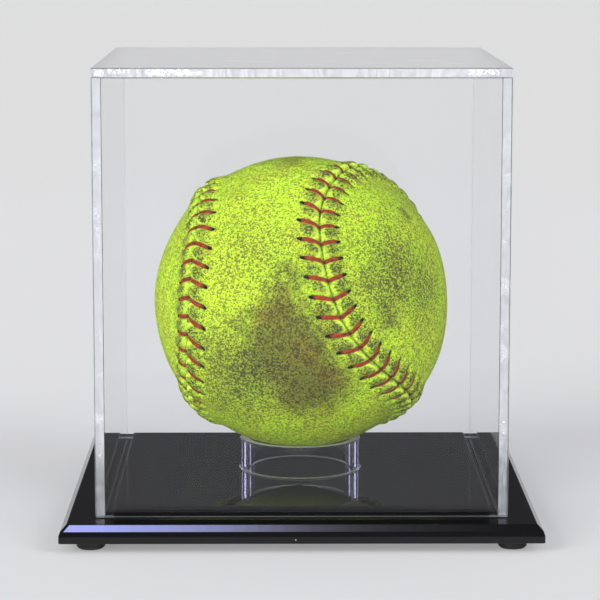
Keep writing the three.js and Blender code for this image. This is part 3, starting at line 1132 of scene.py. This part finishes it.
@dataclass
class Cover:
    """Five clear panels cemented edge to edge, with what the cement and the years have left on them.

    A wipe is given by its start, its end and its depth below the top in millimetres, and a scuff by its
    shares of the top panel's width and depth and its length in millimetres.
    """

    body: str = "cover"
    edge_ease: float = 0.2
    film_inset: float = 0.02
    film_grid: tuple[int, int] = (10, 40)
    film_waves: tuple[tuple[float, float], ...] = ((0.08, 9.0), (0.06, 23.0), (0.05, 5.0))
    joint_seed: int = 11
    top_seed: int = 17
    wipe_seed: int = 23
    scuff_seed: int = 31
    bubble_radius: float = 0.42
    bubble_step: float = 0.12
    bubble_shape: tuple[float, float] = (0.03, 0.7)
    bubble_heights: tuple[float, ...] = (32.1, 28.7, 61.4, 98.0)
    bubble_shift: float = 7.0
    bubble_facets: tuple[int, int] = (16, 8)
    wipes: tuple[Point, ...] = ((16.0, 35.0, 2.2), (5.0, 12.0, 1.5), (0.8, 4.2, 2.4), (114.5, 125.5, 1.8))
    wipe_start: float = 0.3
    wipe_film: tuple[float, float] = (0.03, 0.01)
    scuff_places: tuple[Point, ...] = (
        (0.34, 0.34, 9.0), (0.4, 0.28, 12.0), (0.5, 0.16, 14.0), (0.58, 0.3, 8.0), (0.68, 0.22, 13.0),
        (0.8, 0.34, 12.0), (0.88, 0.2, 10.0), (0.22, 0.6, 8.0), (0.63, 0.7, 9.0),
    )
    scuff_reach: float = 2.2
    scuff_film: tuple[float, float] = (0.012, 0.002)
    clear: ClearAcrylic = field(default_factory=ClearAcrylic)
    sawn: SawnEdge = field(default_factory=SawnEdge)
    joint: ClearWithMarks = field(
        default_factory=lambda: ClearWithMarks("joint_cement", cloud=6.0, spread=0.42, density=0.3)
    )
    wiped: ClearWithMarks = field(
        default_factory=lambda: ClearWithMarks("wiped_cement", grain=0.6, cloud=3.5, spread=0.8, density=0.75)
    )
    scuffed: ClearWithMarks = field(
        default_factory=lambda: ClearWithMarks(
            "scuffs", color=(0.95, 0.95, 0.97), grain=0.6, cloud=2.6, stretch=(0.5, 1.4, 1.0), spread=0.75,
            density=1.0,
        )
    )
    air: ClearWithMarks = field(
        default_factory=lambda: ClearWithMarks(
            "trapped_air", color=(0.95, 0.95, 1.0), grain=4.0, spread=1.0, density=1.0
        )
    )

    def panel(self, name: str, thin: int, clear: Material, sawn: Material) -> None:
        """Makes and dresses a polished sheet with slightly rounded, sawn edges.

        Args:
            name: the panel's place on the cover.
            thin: the axis that its polished faces look along.
            clear: the finish of its faces.
            sawn: the finish of its cut edges.
        """
        node = f"cover_{name}_panel"
        piece = block(f"{node}_polished", *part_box(node))
        ease_edges(piece, self.edge_ease)
        dress(piece, clear, self.body, "clear_acrylic", node)
        piece.data.materials.append(sawn)
        for face in piece.data.polygons:
            flat = max(abs(part) for part in face.normal) > 0.999
            face.material_index = int(flat and abs(face.normal[thin]) < 0.05)

    def film(self, name: str, low: Vector, high: Vector, seed: int) -> Piece:
        """A thin sheet of dried cement or wear, with a ragged outline.

        Args:
            name: the piece's name.
            low: its lowest corner in metres.
            high: its highest corner in metres.
            seed: what its outline is drawn from.

        Returns:
            The film, which carries how far each point is from its rim.
        """
        size = high - low
        thin = min(range(3), key=lambda axis: size[axis])
        across, along = sorted((axis for axis in range(3) if axis != thin), key=lambda axis: size[axis])
        columns, rows = self.film_grid
        deselect()
        bpy.ops.mesh.primitive_grid_add(x_subdivisions=columns, y_subdivisions=rows, size=2.0)
        piece = new_piece(name)
        places = points_of(piece)
        u, v = places[:, 0].copy(), places[:, 1].copy()
        starts = np.random.default_rng(seed).uniform(0.0, 2 * math.pi, len(self.film_waves))
        first, second, end = (
            height * (np.sin(count * course + start) - 1.0)
            for (height, count), course, start in zip(self.film_waves, (v, v, u), starts)
        )
        places[:, thin] = low[thin]
        places[:, across] = low[across] + size[across] * (0.5 + 0.5 * u * (1.0 + first + second))
        places[:, along] = low[along] + size[along] * (0.5 + 0.5 * v * (1.0 + end))
        move_points(piece, places)
        carry(piece, {"rim": 1.0 - np.maximum(np.abs(u), np.abs(v)) ** 3})
        apply_modifier(piece, "SOLIDIFY", thickness=size[thin], offset=1.0)
        places = points_of(piece)
        places[:, thin] += (low[thin] + high[thin]) / 2 - places[:, thin].mean()
        move_points(piece, places)
        return piece

    def joint_films(self) -> None:
        """The cement in the two front upright joints and under the top panel's edges."""
        finish = self.joint.material()
        inset = self.film_inset * MM
        front_low, front_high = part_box("cover_front_panel")
        top_low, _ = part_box("cover_top_panel")
        for number, node in enumerate(("cover_left_panel", "cover_right_panel")):
            low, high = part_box(node)
            corner = Vector((low.x, front_high.y + inset, low.z))
            far = Vector((high.x, low.y - inset, high.z))
            piece = self.film(f"{node}_joint_cement", corner, far, self.joint_seed + number)
            dress(piece, finish, self.body, "cured_cement")
        corner = Vector((front_low.x, front_low.y, front_high.z + inset))
        far = Vector((front_high.x, front_high.y, top_low.z - inset))
        piece = self.film("cover_top_joint_cement", corner, far, self.top_seed)
        dress(piece, finish, self.body, "cured_cement")

    def smears(self) -> None:
        """Cement that was wiped over the top panel's front edge."""
        finish = self.wiped.material()
        low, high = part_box("cover_top_panel")
        outer, inner = self.wipe_film
        for number, (start, end, depth) in enumerate(self.wipes):
            top = high.z - self.wipe_start * MM
            corner = Vector((low.x + start * MM, low.y - outer * MM, top - depth * MM))
            far = Vector((low.x + end * MM, low.y - inner * MM, top))
            piece = self.film(f"cover_wiped_cement_{number + 1}", corner, far, self.wipe_seed + number)
            dress(piece, finish, self.body, "cured_cement")

    def scuffs(self) -> None:
        """Short white scuffs on the top panel."""
        finish = self.scuffed.material()
        low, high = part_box("cover_top_panel")
        deep, shallow = self.scuff_film
        for number, (across, back, length) in enumerate(self.scuff_places):
            middle = Vector((low.x + across * (high.x - low.x), low.y + back * (high.y - low.y), high.z))
            half = Vector((length / 2, self.scuff_reach, 0.0)) * MM
            corner = middle - half - Vector((0.0, 0.0, deep * MM))
            far = middle + half - Vector((0.0, 0.0, shallow * MM))
            piece = self.film(f"cover_scuff_{number + 1}", corner, far, self.scuff_seed + number)
            dress(piece, finish, self.body, "clear_acrylic")

    def bubbles(self) -> None:
        """Air trapped in the front upright joints."""
        finish = self.air.material()
        _, front_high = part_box("cover_front_panel")
        depth, height_share = self.bubble_shape
        segments, rings = self.bubble_facets
        for node, shift in (("cover_left_panel", 0.0), ("cover_right_panel", self.bubble_shift)):
            low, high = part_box(node)
            for number, height in enumerate(self.bubble_heights):
                deselect()
                radius = self.bubble_radius * MM * (1.0 - self.bubble_step * number)
                middle = ((low.x + high.x) / 2, (front_high.y + low.y) / 2, (height + shift) * MM)
                size = (radius, depth * MM, radius * height_share)
                bpy.ops.mesh.primitive_uv_sphere_add(
                    segments=segments, ring_count=rings, radius=1.0, location=middle, scale=size
                )
                piece = new_piece(f"{node}_bubble_{number + 1}")
                carry(piece, {"rim": np.ones(len(piece.data.vertices))})
                take(piece)
                bpy.ops.object.shade_smooth()
                dress(piece, finish, self.body, "cured_cement")

    def build(self) -> None:
        """Makes and dresses every piece of the cover."""
        clear = self.clear.material()
        sawn = self.sawn.material()
        for name, thin in (("front", 1), ("rear", 1), ("left", 0), ("right", 0), ("top", 2)):
            self.panel(name, thin, clear, sawn)
        self.joint_films()
        self.smears()
        self.scuffs()
        self.bubbles()


# Ball


# Dirty places on the ball: the pixel of the photograph that shows the middle, the reach in millimetres
# and the strength.
SMUDGES = {
    Soil.STAIN: (
        ((297, 335), 10.0, 1.0), ((305, 370), 12.0, 0.95), ((278, 308), 8.0, 0.7), ((335, 385), 9.0, 0.7),
        ((272, 352), 10.0, 0.85), ((290, 275), 6.5, 0.6), ((300, 398), 10.0, 0.7), ((243, 325), 7.0, 0.4),
        ((240, 372), 11.0, 0.35), ((387, 316), 6.5, 0.52), ((405, 214), 3.6, 0.55), ((392, 365), 5.0, 0.35),
        ((290, 160), 10.0, 0.5),
    ),
    Soil.SCUFF: (
        ((243, 240), 11.0, 0.3), ((270, 262), 11.0, 0.4), ((395, 270), 14.0, 0.9), ((372, 285), 9.0, 0.6),
        ((425, 290), 10.0, 0.65), ((215, 350), 12.0, 0.5), ((245, 385), 13.0, 0.85), ((222, 402), 8.0, 0.6),
        ((400, 400), 8.0, 0.4),
    ),
}

# Where the ball is out of round: the pixel that shows the middle, the reach and the height in millimetres.
BULGES = (((436, 240), 17.0, 1.0), ((433, 363), 17.0, 1.35))


@dataclass
class Seam:
    """The seam's closed course round the ball, in millimetres along it and beside it."""

    radius: float = 48.5
    pole_angle: float = 0.441
    swing_angle: float = 0.393
    stitches: int = 88
    drift: float = 1.9
    samples: int = 1760
    batch: int = 4096

    def __post_init__(self) -> None:
        """Measures the seam at even steps of its share."""
        self.shares = np.arange(self.samples + 1) / self.samples
        points = self.course(self.shares)
        steps = np.linalg.norm(np.diff(points, axis=0), axis=1) * self.radius
        self.lengths = np.concatenate([[0.0], np.cumsum(steps)])
        self.length = float(self.lengths[-1])
        self.pitch = self.length / self.stitches
        self.points = points[:-1]
        self.tangents, self.normals = self.directions(self.shares[:-1])

    def course(self, share: np.ndarray) -> np.ndarray:
        """Points on a ball of radius 1, for shares from 0 to 1."""
        turn = 4 * np.pi * share
        polar = np.pi / 2 - (np.pi / 2 - self.pole_angle) * np.cos(turn)
        around = turn / 2 + self.swing_angle * np.sin(2 * turn)
        return np.stack([np.sin(polar) * np.cos(around), np.sin(polar) * np.sin(around), np.cos(polar)], -1)

    def directions(self, share: np.ndarray) -> tuple[np.ndarray, np.ndarray]:
        """Which way the seam runs.

        Args:
            share: shares of the seam.

        Returns:
            The seam's own direction at each share, and the direction that points to the front hide.
        """
        step = 1.0 / self.samples
        along = self.course(share + step) - self.course(share - step)
        along /= np.linalg.norm(along, axis=-1, keepdims=True)
        across = np.cross(self.course(share), along)
        return along, across / np.linalg.norm(across, axis=-1, keepdims=True)

    def start(self, number: int) -> float:
        """How far along the seam a stitch begins."""
        return number * self.pitch + self.drift * math.cos(2 * math.pi * number / self.stitches)

    def from_start(self, along: np.ndarray) -> np.ndarray:
        """How far lengths along the seam are from the nearest stitch's beginning."""
        count = (along - self.drift * np.cos(2 * np.pi * along / self.length)) / self.pitch
        return (count - np.rint(count)) * self.pitch

    def locate(self, directions: np.ndarray) -> tuple[np.ndarray, np.ndarray]:
        """Where directions from the ball's middle lie by the seam.

        Args:
            directions: unit vectors, one a row.

        Returns:
            How far along the seam each one is, and how far beside it, which is positive on the front hide.
        """
        batches = np.array_split(directions, max(1, len(directions) // self.batch))
        nearest = np.concatenate([np.argmax(part @ self.points.T, axis=1) for part in batches])
        ahead = np.einsum("ij,ij->i", directions, self.tangents[nearest])
        along = self.lengths[nearest] + self.radius * np.arcsin(np.clip(ahead, -1.0, 1.0))
        aside = np.einsum("ij,ij->i", directions, self.normals[nearest])
        return along % self.length, self.radius * np.arcsin(np.clip(aside, -1.0, 1.0))

    def beside(self, share: np.ndarray, reach: np.ndarray) -> np.ndarray:
        """The unit vectors at shares of the seam and distances beside it.

        Args:
            share: shares of the seam.
            reach: distances, positive towards the front hide.

        Returns:
            The unit vectors, one a row.
        """
        _, across = self.directions(share)
        angle = (reach / self.radius)[:, None]
        return self.course(share) * np.cos(angle) + across * np.sin(angle)

    def share_at(self, along: np.ndarray) -> np.ndarray:
        """The seam's shares at lengths along it."""
        return np.interp(along % self.length, self.lengths, self.shares)


@dataclass(frozen=True)
class Flank:
    """What the seam looks like on one of the two hides, in millimetres.

    Args:
        reach: how far a stitch's leg reaches from the seam.
        slant: how far along the seam it has come by then.
        pillow: how far from the seam the middles of the pillows between the legs are.
        crescent: how strongly a highlight is painted on the pillows' rims, as a share.
    """

    reach: float
    slant: float
    pillow: float
    crescent: float


FLANKS = {Hide.FRONT: Flank(7.5, 3.1, 3.5, 0.8), Hide.SIDE: Flank(6.9, 1.2, 3.1, 0.4)}


@dataclass
class Ball:
    """The stitched ball: two hides, the thread between them and the core inside.

    A leg's steps are shares of its reach, each with the thread's fullness and its lift off the hide.
    """

    view: Viewpoint
    body: str = "softball"
    tilt: Point = (45.6, -18.2, -5.5)
    hide_thickness: float = 1.6
    seam_gap: float = 0.14
    ridge_height: float = 1.0
    ridge_spread: float = 6.5
    edge_drop: float = 0.55
    edge_spread: float = 0.34
    # How wide and how dark the painted shade along the seam's groove is.
    groove_shade_width: float = 0.22
    groove_shade_share: float = 0.85
    bead_inner: float = 2.9
    bead_outer: float = 4.2
    bead_width: float = 0.85
    bead_fade: float = 0.3
    # The crescent fields shape the highlight painted on each pillow's rim.
    crescent: float = 0.92
    crescent_width: float = 0.13
    crescent_start: tuple[float, float] = (0.3, 1.6)
    pillow_height: float = 1.35
    pillow_rise: float = 1.5
    pillow_reach: tuple[float, float] = (2.6, 8.6)
    crown_pinch: float = 0.6
    crown_reach: float = 0.9
    valley_depth: float = 0.4
    # How dark the painted shade in the valleys beside the legs is.
    valley_shade_share: float = 0.85
    valley_width: float = 1.0
    valley_end: tuple[float, float] = (0.7, 1.1)
    slit_depth: float = 1.0
    slit_width: float = 0.62
    slit_shares: tuple[float, float] = (0.66, 1.04)
    slit_start: tuple[float, float] = (-0.05, 0.08)
    slit_end: float = 0.14
    slit_taper: tuple[float, float] = (1.15, 0.65)
    lump_height: float = 0.05
    lump_start: tuple[float, float] = (6.0, 14.0)
    lump_waves: tuple[tuple[Point, float], ...] = (
        ((9.0, 4.0, 7.0), 0.3), ((-6.0, 11.0, 3.0), 1.9), ((5.0, -8.0, 12.0), 4.1),
    )
    thread_width: float = 1.9
    thread_height: float = 0.85
    thread_rise: float = 0.42
    ply_pitch: float = 1.9
    # How dark the painted shade is where the thread sinks into the groove and the slits.
    sunk_shade_share: float = 0.85
    sunk_start: tuple[float, float] = (-0.15, -0.02)
    sunk_end: tuple[float, float] = (0.66, 0.84)
    bed_margin: float = 1.0
    bed_fade: float = 8.0
    bed_depth: float = 0.5
    bed_thread_share: float = 0.4
    rows: int = 600
    half_columns: int = 74
    inner_columns: int = 9
    column_power: float = 1.35
    leg_sides: int = 8
    leg_bow: float = 0.35
    leg_end: float = 1.1
    leg_steps: tuple[Point, ...] = (
        (-0.03, 0.42, -0.95), (0.02, 0.58, -0.42), (0.12, 0.8, -0.03), (0.34, 1.04, 0.06),
        (0.52, 1.0, 0.04), (0.66, 0.86, -0.1), (0.77, 0.5, -0.62),
    )
    seam: Seam = field(default_factory=Seam)

    def __post_init__(self) -> None:
        """Takes the ball's place from the frame, and the ring's rim that it lies on."""
        low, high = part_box("ball_core")
        self.centre = np.array((low + high) / 2)
        turns = [Matrix.Rotation(math.radians(angle), 3, axis) for angle, axis in zip(self.tilt, "XYZ")]
        self.turn = np.array(turns[0] @ turns[1] @ turns[2])
        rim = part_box("ring_stand")[1].x / MM - Base.ring_wall / 2
        self.rim_reach = self.seam.radius * math.asin(rim / self.seam.radius)
        self.rim_half = Base.ring_wall / 2 + self.bed_margin

    def leg_course(self, share: np.ndarray, hide: Hide) -> np.ndarray:
        """How far along the seam a leg has come at each share of its reach."""
        share = np.clip(share, 0.0, self.leg_end)
        return FLANKS[hide].slant * share * (1.0 + self.leg_bow * (1.0 - share))

    def bedded(self, directions: np.ndarray) -> np.ndarray:
        """1 where the ball lies on the ring's rim, fading to 0 on both sides of it."""
        down = -(directions @ self.turn.T)[:, 2]
        from_bottom = self.seam.radius * np.arccos(np.clip(down, -1.0, 1.0))
        return 1.0 - smooth_step(np.abs(from_bottom - self.rim_reach) - self.rim_half, 0.0, self.bed_fade)

    def slit(self, offset: np.ndarray, share: np.ndarray) -> np.ndarray:
        """How deep the needle slits are.

        Args:
            offset: distances from the leg's middle line.
            share: shares of the leg's reach.

        Returns:
            The depth at each point, from 0 to 1.
        """
        first, last = self.slit_shares
        before, after = self.slit_start
        opened = smooth_step(share, first + before, first + after)
        closed = smooth_step(share, last - self.slit_end, last)
        wide, narrow = self.slit_taper
        width = self.slit_width * (wide + (narrow - wide) * smooth_step(share, first, last))
        return hump(offset, width) * opened * (1.0 - closed)

    def unevenness(self, directions: np.ndarray, beside: np.ndarray) -> np.ndarray:
        """How far the ball is out of round.

        Args:
            directions: unit vectors from the ball's middle, before its tilt.
            beside: their distances from the seam.

        Returns:
            The height over the ball's radius in millimetres.
        """
        lumps = sum(np.sin(directions @ np.array(wave) + start) for wave, start in self.lump_waves)
        height = self.lump_height * lumps * smooth_step(beside, *self.lump_start)
        for pixel, reach, rise in BULGES:
            height += rise * self.spot(directions, pixel, reach)
        return height

    def relief(self, directions: np.ndarray, hide: Hide) -> dict[str, np.ndarray]:
        """The hide's outer surface.

        Args:
            directions: unit vectors from the ball's middle, before its tilt.
            hide: the hide that they are on.

        Returns:
            The surface's height over the ball's radius in millimetres, and the marks that it carries.
        """
        flank = FLANKS[hide]
        along, beside = self.seam.locate(directions)
        beside = np.abs(beside)
        share = beside / flank.reach
        offset = self.seam.from_start(along - self.leg_course(share, hide))
        phase = np.clip(np.abs(offset) / (self.seam.pitch / 2), 0.0, 1.0)
        near = 1.0 - smooth_step(beside, *self.pillow_reach)
        crown = np.sin(phase * np.pi / 2) ** (1.0 + self.crown_pinch * np.exp(-beside / self.crown_reach))
        pillow = self.pillow_height * crown * smooth_step(beside, 0.0, self.pillow_rise) * near
        # The hide sinks beside each leg, and the same hump paints shade there.
        valley_and_shade = hump(offset, self.valley_width)
        under = self.valley_depth * valley_and_shade * (1.0 - smooth_step(share, *self.valley_end))
        slit = self.slit(offset, share)
        ridge = self.ridge_height * hump(beside, self.ridge_spread)
        free = ridge - self.edge_drop * hump(beside, self.edge_spread) + pillow - under
        bed = self.bedded(directions)
        past = smooth_step(beside, FLANKS[Hide.SIDE].reach, FLANKS[Hide.SIDE].reach + self.bed_fade)
        height = free * (1.0 - bed) - self.bed_depth * (1.0 - past) * bed - self.slit_depth * slit
        inside = flank.pillow - beside
        bead = np.hypot(
            (1.0 - phase) / self.bead_width,
            np.where(inside > 0.0, inside / self.bead_inner, inside / self.bead_outer),
        )
        crescent = hump(bead - self.crescent, self.crescent_width) * smooth_step(inside, *self.crescent_start)
        return {
            "height": height + self.unevenness(directions, beside),
            "grime": near * (1.0 - smooth_step(bead, self.bead_fade, 1.0)),
            # A highlight painted on each pillow's rim by the seam, stronger on the front hide.
            "pillow_highlight": flank.crescent * crescent,
            # Painted shade in the valleys beside the legs, none in the slits.
            "valley_and_shade": self.valley_shade_share * valley_and_shade * near * (1.0 - slit),
            # Painted shade along the seam's groove.
            "groove_shade": self.groove_shade_share * hump(beside, self.groove_shade_width),
            # The needle slits, which the hide sinks at and its material paints near black as shade.
            "slit": slit,
        }

    def outward(self, directions: np.ndarray, height: np.ndarray) -> np.ndarray:
        """Places in metres at a height over the ball's radius, with the ball on its ring."""
        return self.centre + (directions @ self.turn.T) * ((self.seam.radius + height) * MM)[:, None]

    def soiling(self, directions: np.ndarray) -> dict[str, np.ndarray]:
        """How stained and how scuffed the hide is.

        Args:
            directions: unit vectors from the ball's middle, before its tilt.

        Returns:
            The amount of each kind of soil, from 0 to 1.
        """
        amounts = {}
        for soil, smudges in SMUDGES.items():
            clean = np.ones(len(directions))
            for pixel, reach, strength in smudges:
                clean *= 1.0 - strength * self.spot(directions, pixel, reach)
            amounts[soil.value] = 1.0 - clean
        return amounts

    def spot(self, directions: np.ndarray, pixel: Pixel, reach: float) -> np.ndarray:
        """A soft spot round what a pixel of the photograph shows on the ball.

        Args:
            directions: unit vectors from the ball's middle, before its tilt.
            pixel: the pixel.
            reach: how far the spot reaches, in millimetres.

        Returns:
            1 at its middle, fading to 0.
        """
        ahead = (directions @ self.turn.T) @ self.seen(pixel)
        return hump(self.seam.radius * np.arccos(np.clip(ahead, -1.0, 1.0)), reach)

    def seen(self, pixel: Pixel) -> np.ndarray:
        """The direction from the ball's middle to what a pixel shows on it.

        Args:
            pixel: a pixel of the photograph that the ball covers.

        Returns:
            The unit vector, with the ball on its ring.
        """
        eye = np.array(self.view.place) * MM
        ray = np.array(self.view.ray(pixel))
        to_ball = self.centre - eye
        ahead = float(to_ball @ ray)
        radius = self.seam.radius * MM
        short = math.sqrt(max(0.0, radius**2 - float(to_ball @ to_ball) + ahead**2))
        point = eye + ray * (ahead - short) - self.centre
        return point / np.linalg.norm(point)

    def hide_directions(self, hide: Hide, angle: np.ndarray, around: np.ndarray) -> np.ndarray:
        """Where points of a hide lie on the ball.

        Args:
            hide: which of the two.
            angle: angles from the hide's middle line.
            around: angles round the ball along that line.

        Returns:
            The unit vectors, one a row.
        """
        front = np.stack([np.sin(angle), np.cos(angle) * np.sin(around), np.cos(angle) * np.cos(around)], -1)
        if hide is Hide.FRONT:
            return front
        return np.stack([-front[:, 1], front[:, 0], -front[:, 2]], -1)

    def shell(self, hide: Hide) -> Piece:
        """A hide: a grid laid over the ball from edge to edge, and back along its inner face.

        Args:
            hide: which of the two.

        Returns:
            The closed hide, which carries its dirt, its needle slits and the masks of its painted shade and
            highlights.
        """
        outer = 2 * self.half_columns
        columns = outer + 1 + self.inner_columns + 1
        deselect()
        bpy.ops.mesh.primitive_grid_add(x_subdivisions=columns, y_subdivisions=self.rows, size=2.0)
        piece = new_piece(f"ball_{hide.name.lower()}_hide_stitched")
        flat = points_of(piece)
        column = np.rint((flat[:, 0] + 1.0) / 2 * columns).astype(int)
        row = (flat[:, 1] + 1.0) / 2
        inner = (column > outer) & (column < columns)
        share = np.where(column <= outer, column / self.half_columns - 1.0, -1.0)
        share = np.where(inner, 1.0 - 2.0 * (column - outer - 1) / self.inner_columns, share)
        spread = np.sign(share) * (1.0 - (1.0 - np.abs(share)) ** self.column_power)
        edge = self.seam.beside(row / 2 - 0.25, np.full(len(row), self.seam_gap / 2))
        width = np.arcsin(np.clip(edge[:, 0], 0.0, 1.0))
        width[(row < 1e-6) | (row > 1.0 - 1e-6)] = 0.0
        around = np.arctan2(edge[:, 1], edge[:, 2])
        directions = self.hide_directions(hide, width * np.where(inner, share, spread), around)
        marks = self.relief(directions, hide)
        height = np.where(inner, -self.hide_thickness, marks.pop("height"))
        move_points(piece, self.outward(directions, height))
        carry(piece, marks)
        carry(piece, self.soiling(directions))
        take(piece)
        bpy.ops.object.mode_set(mode="EDIT")
        bpy.ops.mesh.select_all(action="SELECT")
        bpy.ops.mesh.remove_doubles(threshold=0.001 * MM)
        bpy.ops.mesh.normals_make_consistent(inside=False)
        bpy.ops.object.mode_set(mode="OBJECT")
        bpy.ops.object.shade_smooth()
        return piece

    def leg(self, hide: Hide) -> Piece:
        """One leg of a stitch, laid out flat: X along the seam, Y away from it and Z outwards.

        Args:
            hide: the hide that it lies on.

        Returns:
            The leg, swept from a many-sided section.
        """
        reach = FLANKS[hide].reach
        deselect()
        start, fullness, lift = self.leg_steps[0]
        bpy.ops.mesh.primitive_circle_add(
            vertices=self.leg_sides, radius=0.5, fill_type="NGON", rotation=(math.pi / 2, 0.0, 0.0),
            location=(0.0, start * reach, lift),
        )
        piece = new_piece("thread_leg")
        edit(piece, faces=lambda middle, normal: True)
        size = (self.thread_width * fullness, 1.0, self.thread_height * fullness)
        bpy.ops.transform.resize(value=size, center_override=(0.0, start * reach, lift))
        for (before, was, low), (share, now, high) in zip(self.leg_steps, self.leg_steps[1:]):
            step = (0.0, (share - before) * reach, high - low)
            bpy.ops.mesh.extrude_region_move(TRANSFORM_OT_translate={"value": step})
            size = (now / was, 1.0, now / was)
            bpy.ops.transform.resize(value=size, center_override=(0.0, share * reach, high))
        bpy.ops.mesh.select_all(action="SELECT")
        bpy.ops.mesh.normals_make_consistent(inside=False)
        bpy.ops.object.mode_set(mode="OBJECT")
        return piece

    def lay_leg(self, model: Piece, hide: Hide, start: float) -> Piece:
        """A copy of a leg, laid over the hide.

        Args:
            model: the leg, laid out flat.
            hide: the hide that it lies on.
            start: where its stitch is along the seam.

        Returns:
            The copy, with its own mesh.
        """
        piece = model.copy()
        piece.data = model.data.copy()
        bpy.context.scene.collection.objects.link(piece)
        along, away, lift = points_of(piece).T
        share = away / FLANKS[hide].reach
        course = start + self.leg_course(share, hide)
        middle = self.seam.beside(self.seam.share_at(course), hide.value * away)
        bed = self.bedded(middle)
        surface = self.relief(middle, hide)
        edge_fill = self.edge_drop * hump(away, self.edge_spread) * (1.0 - bed)
        ground = surface["height"] + self.slit_depth * surface["slit"] + edge_fill
        flattened = 1.0 - (1.0 - self.bed_thread_share) * bed
        height = ground + (lift + self.thread_rise * self.thread_height) * flattened
        directions = self.seam.beside(self.seam.share_at(course + along), hide.value * away)
        move_points(piece, self.outward(directions, height))
        steps, _, lifts = zip(*self.leg_steps)
        twist = np.arctan2(lift - np.interp(share, steps, lifts), along)
        # The twist round the thread, which bumps it and on which the material paints highlights on the crests
        # and shade between them.
        ply = 0.5 + 0.5 * np.sin(2 * twist + 2 * math.pi * away / self.ply_pitch)
        # Painted shade where the thread sinks into the seam's groove and into the slits.
        sunk_shade = np.maximum(smooth_step(-share, *self.sunk_start), smooth_step(share, *self.sunk_end))
        carry(piece, {"ply": ply, "sunk_shade": self.sunk_shade_share * sunk_shade})
        return piece

    def stitching(self) -> Piece:
        """All the thread's legs, each one laid from the seam to its needle slit."""
        laid = []
        for hide in Hide:
            model = self.leg(hide)
            starts = [self.seam.start(number) for number in range(self.seam.stitches)]
            laid += [self.lay_leg(model, hide, start) for start in starts]
            bpy.data.objects.remove(model)
        deselect()
        for piece in laid:
            piece.select_set(True)
        bpy.context.view_layer.objects.active = laid[0]
        bpy.ops.object.join()
        piece = laid[0]
        piece.name = "ball_stitching_thread"
        piece.data.name = piece.name
        take(piece)
        bpy.ops.object.shade_smooth()
        return piece

    def build(self, nodes: dict[str, Piece]) -> None:
        """Makes and dresses the ball.

        Args:
            nodes: the frame's nodes, of which the core is kept.
        """
        hide_finish = OpticHide().material()
        for hide in Hide:
            node = f"ball_{hide.name.lower()}_hide"
            dress(self.shell(hide), hide_finish, self.body, "optic_hide", node)
        dress(self.stitching(), RedThread().material(), self.body, "red_thread", "ball_stitching")
        core = nodes["ball_core"]
        core.data.materials.clear()
        core.data.materials.append(FoamCore().material())
        LOG.info("%s is kept from the frame", core.name)


def main() -> None:
    """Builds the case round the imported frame."""
    logging.basicConfig(level=logging.INFO, format="%(message)s")
    view = Viewpoint()
    view.make()
    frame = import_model()
    Studio().build()
    Base().build()
    Cover().build()
    Ball(view).build(frame["nodes"])
    deselect()


if __name__ == "__main__":
    main()
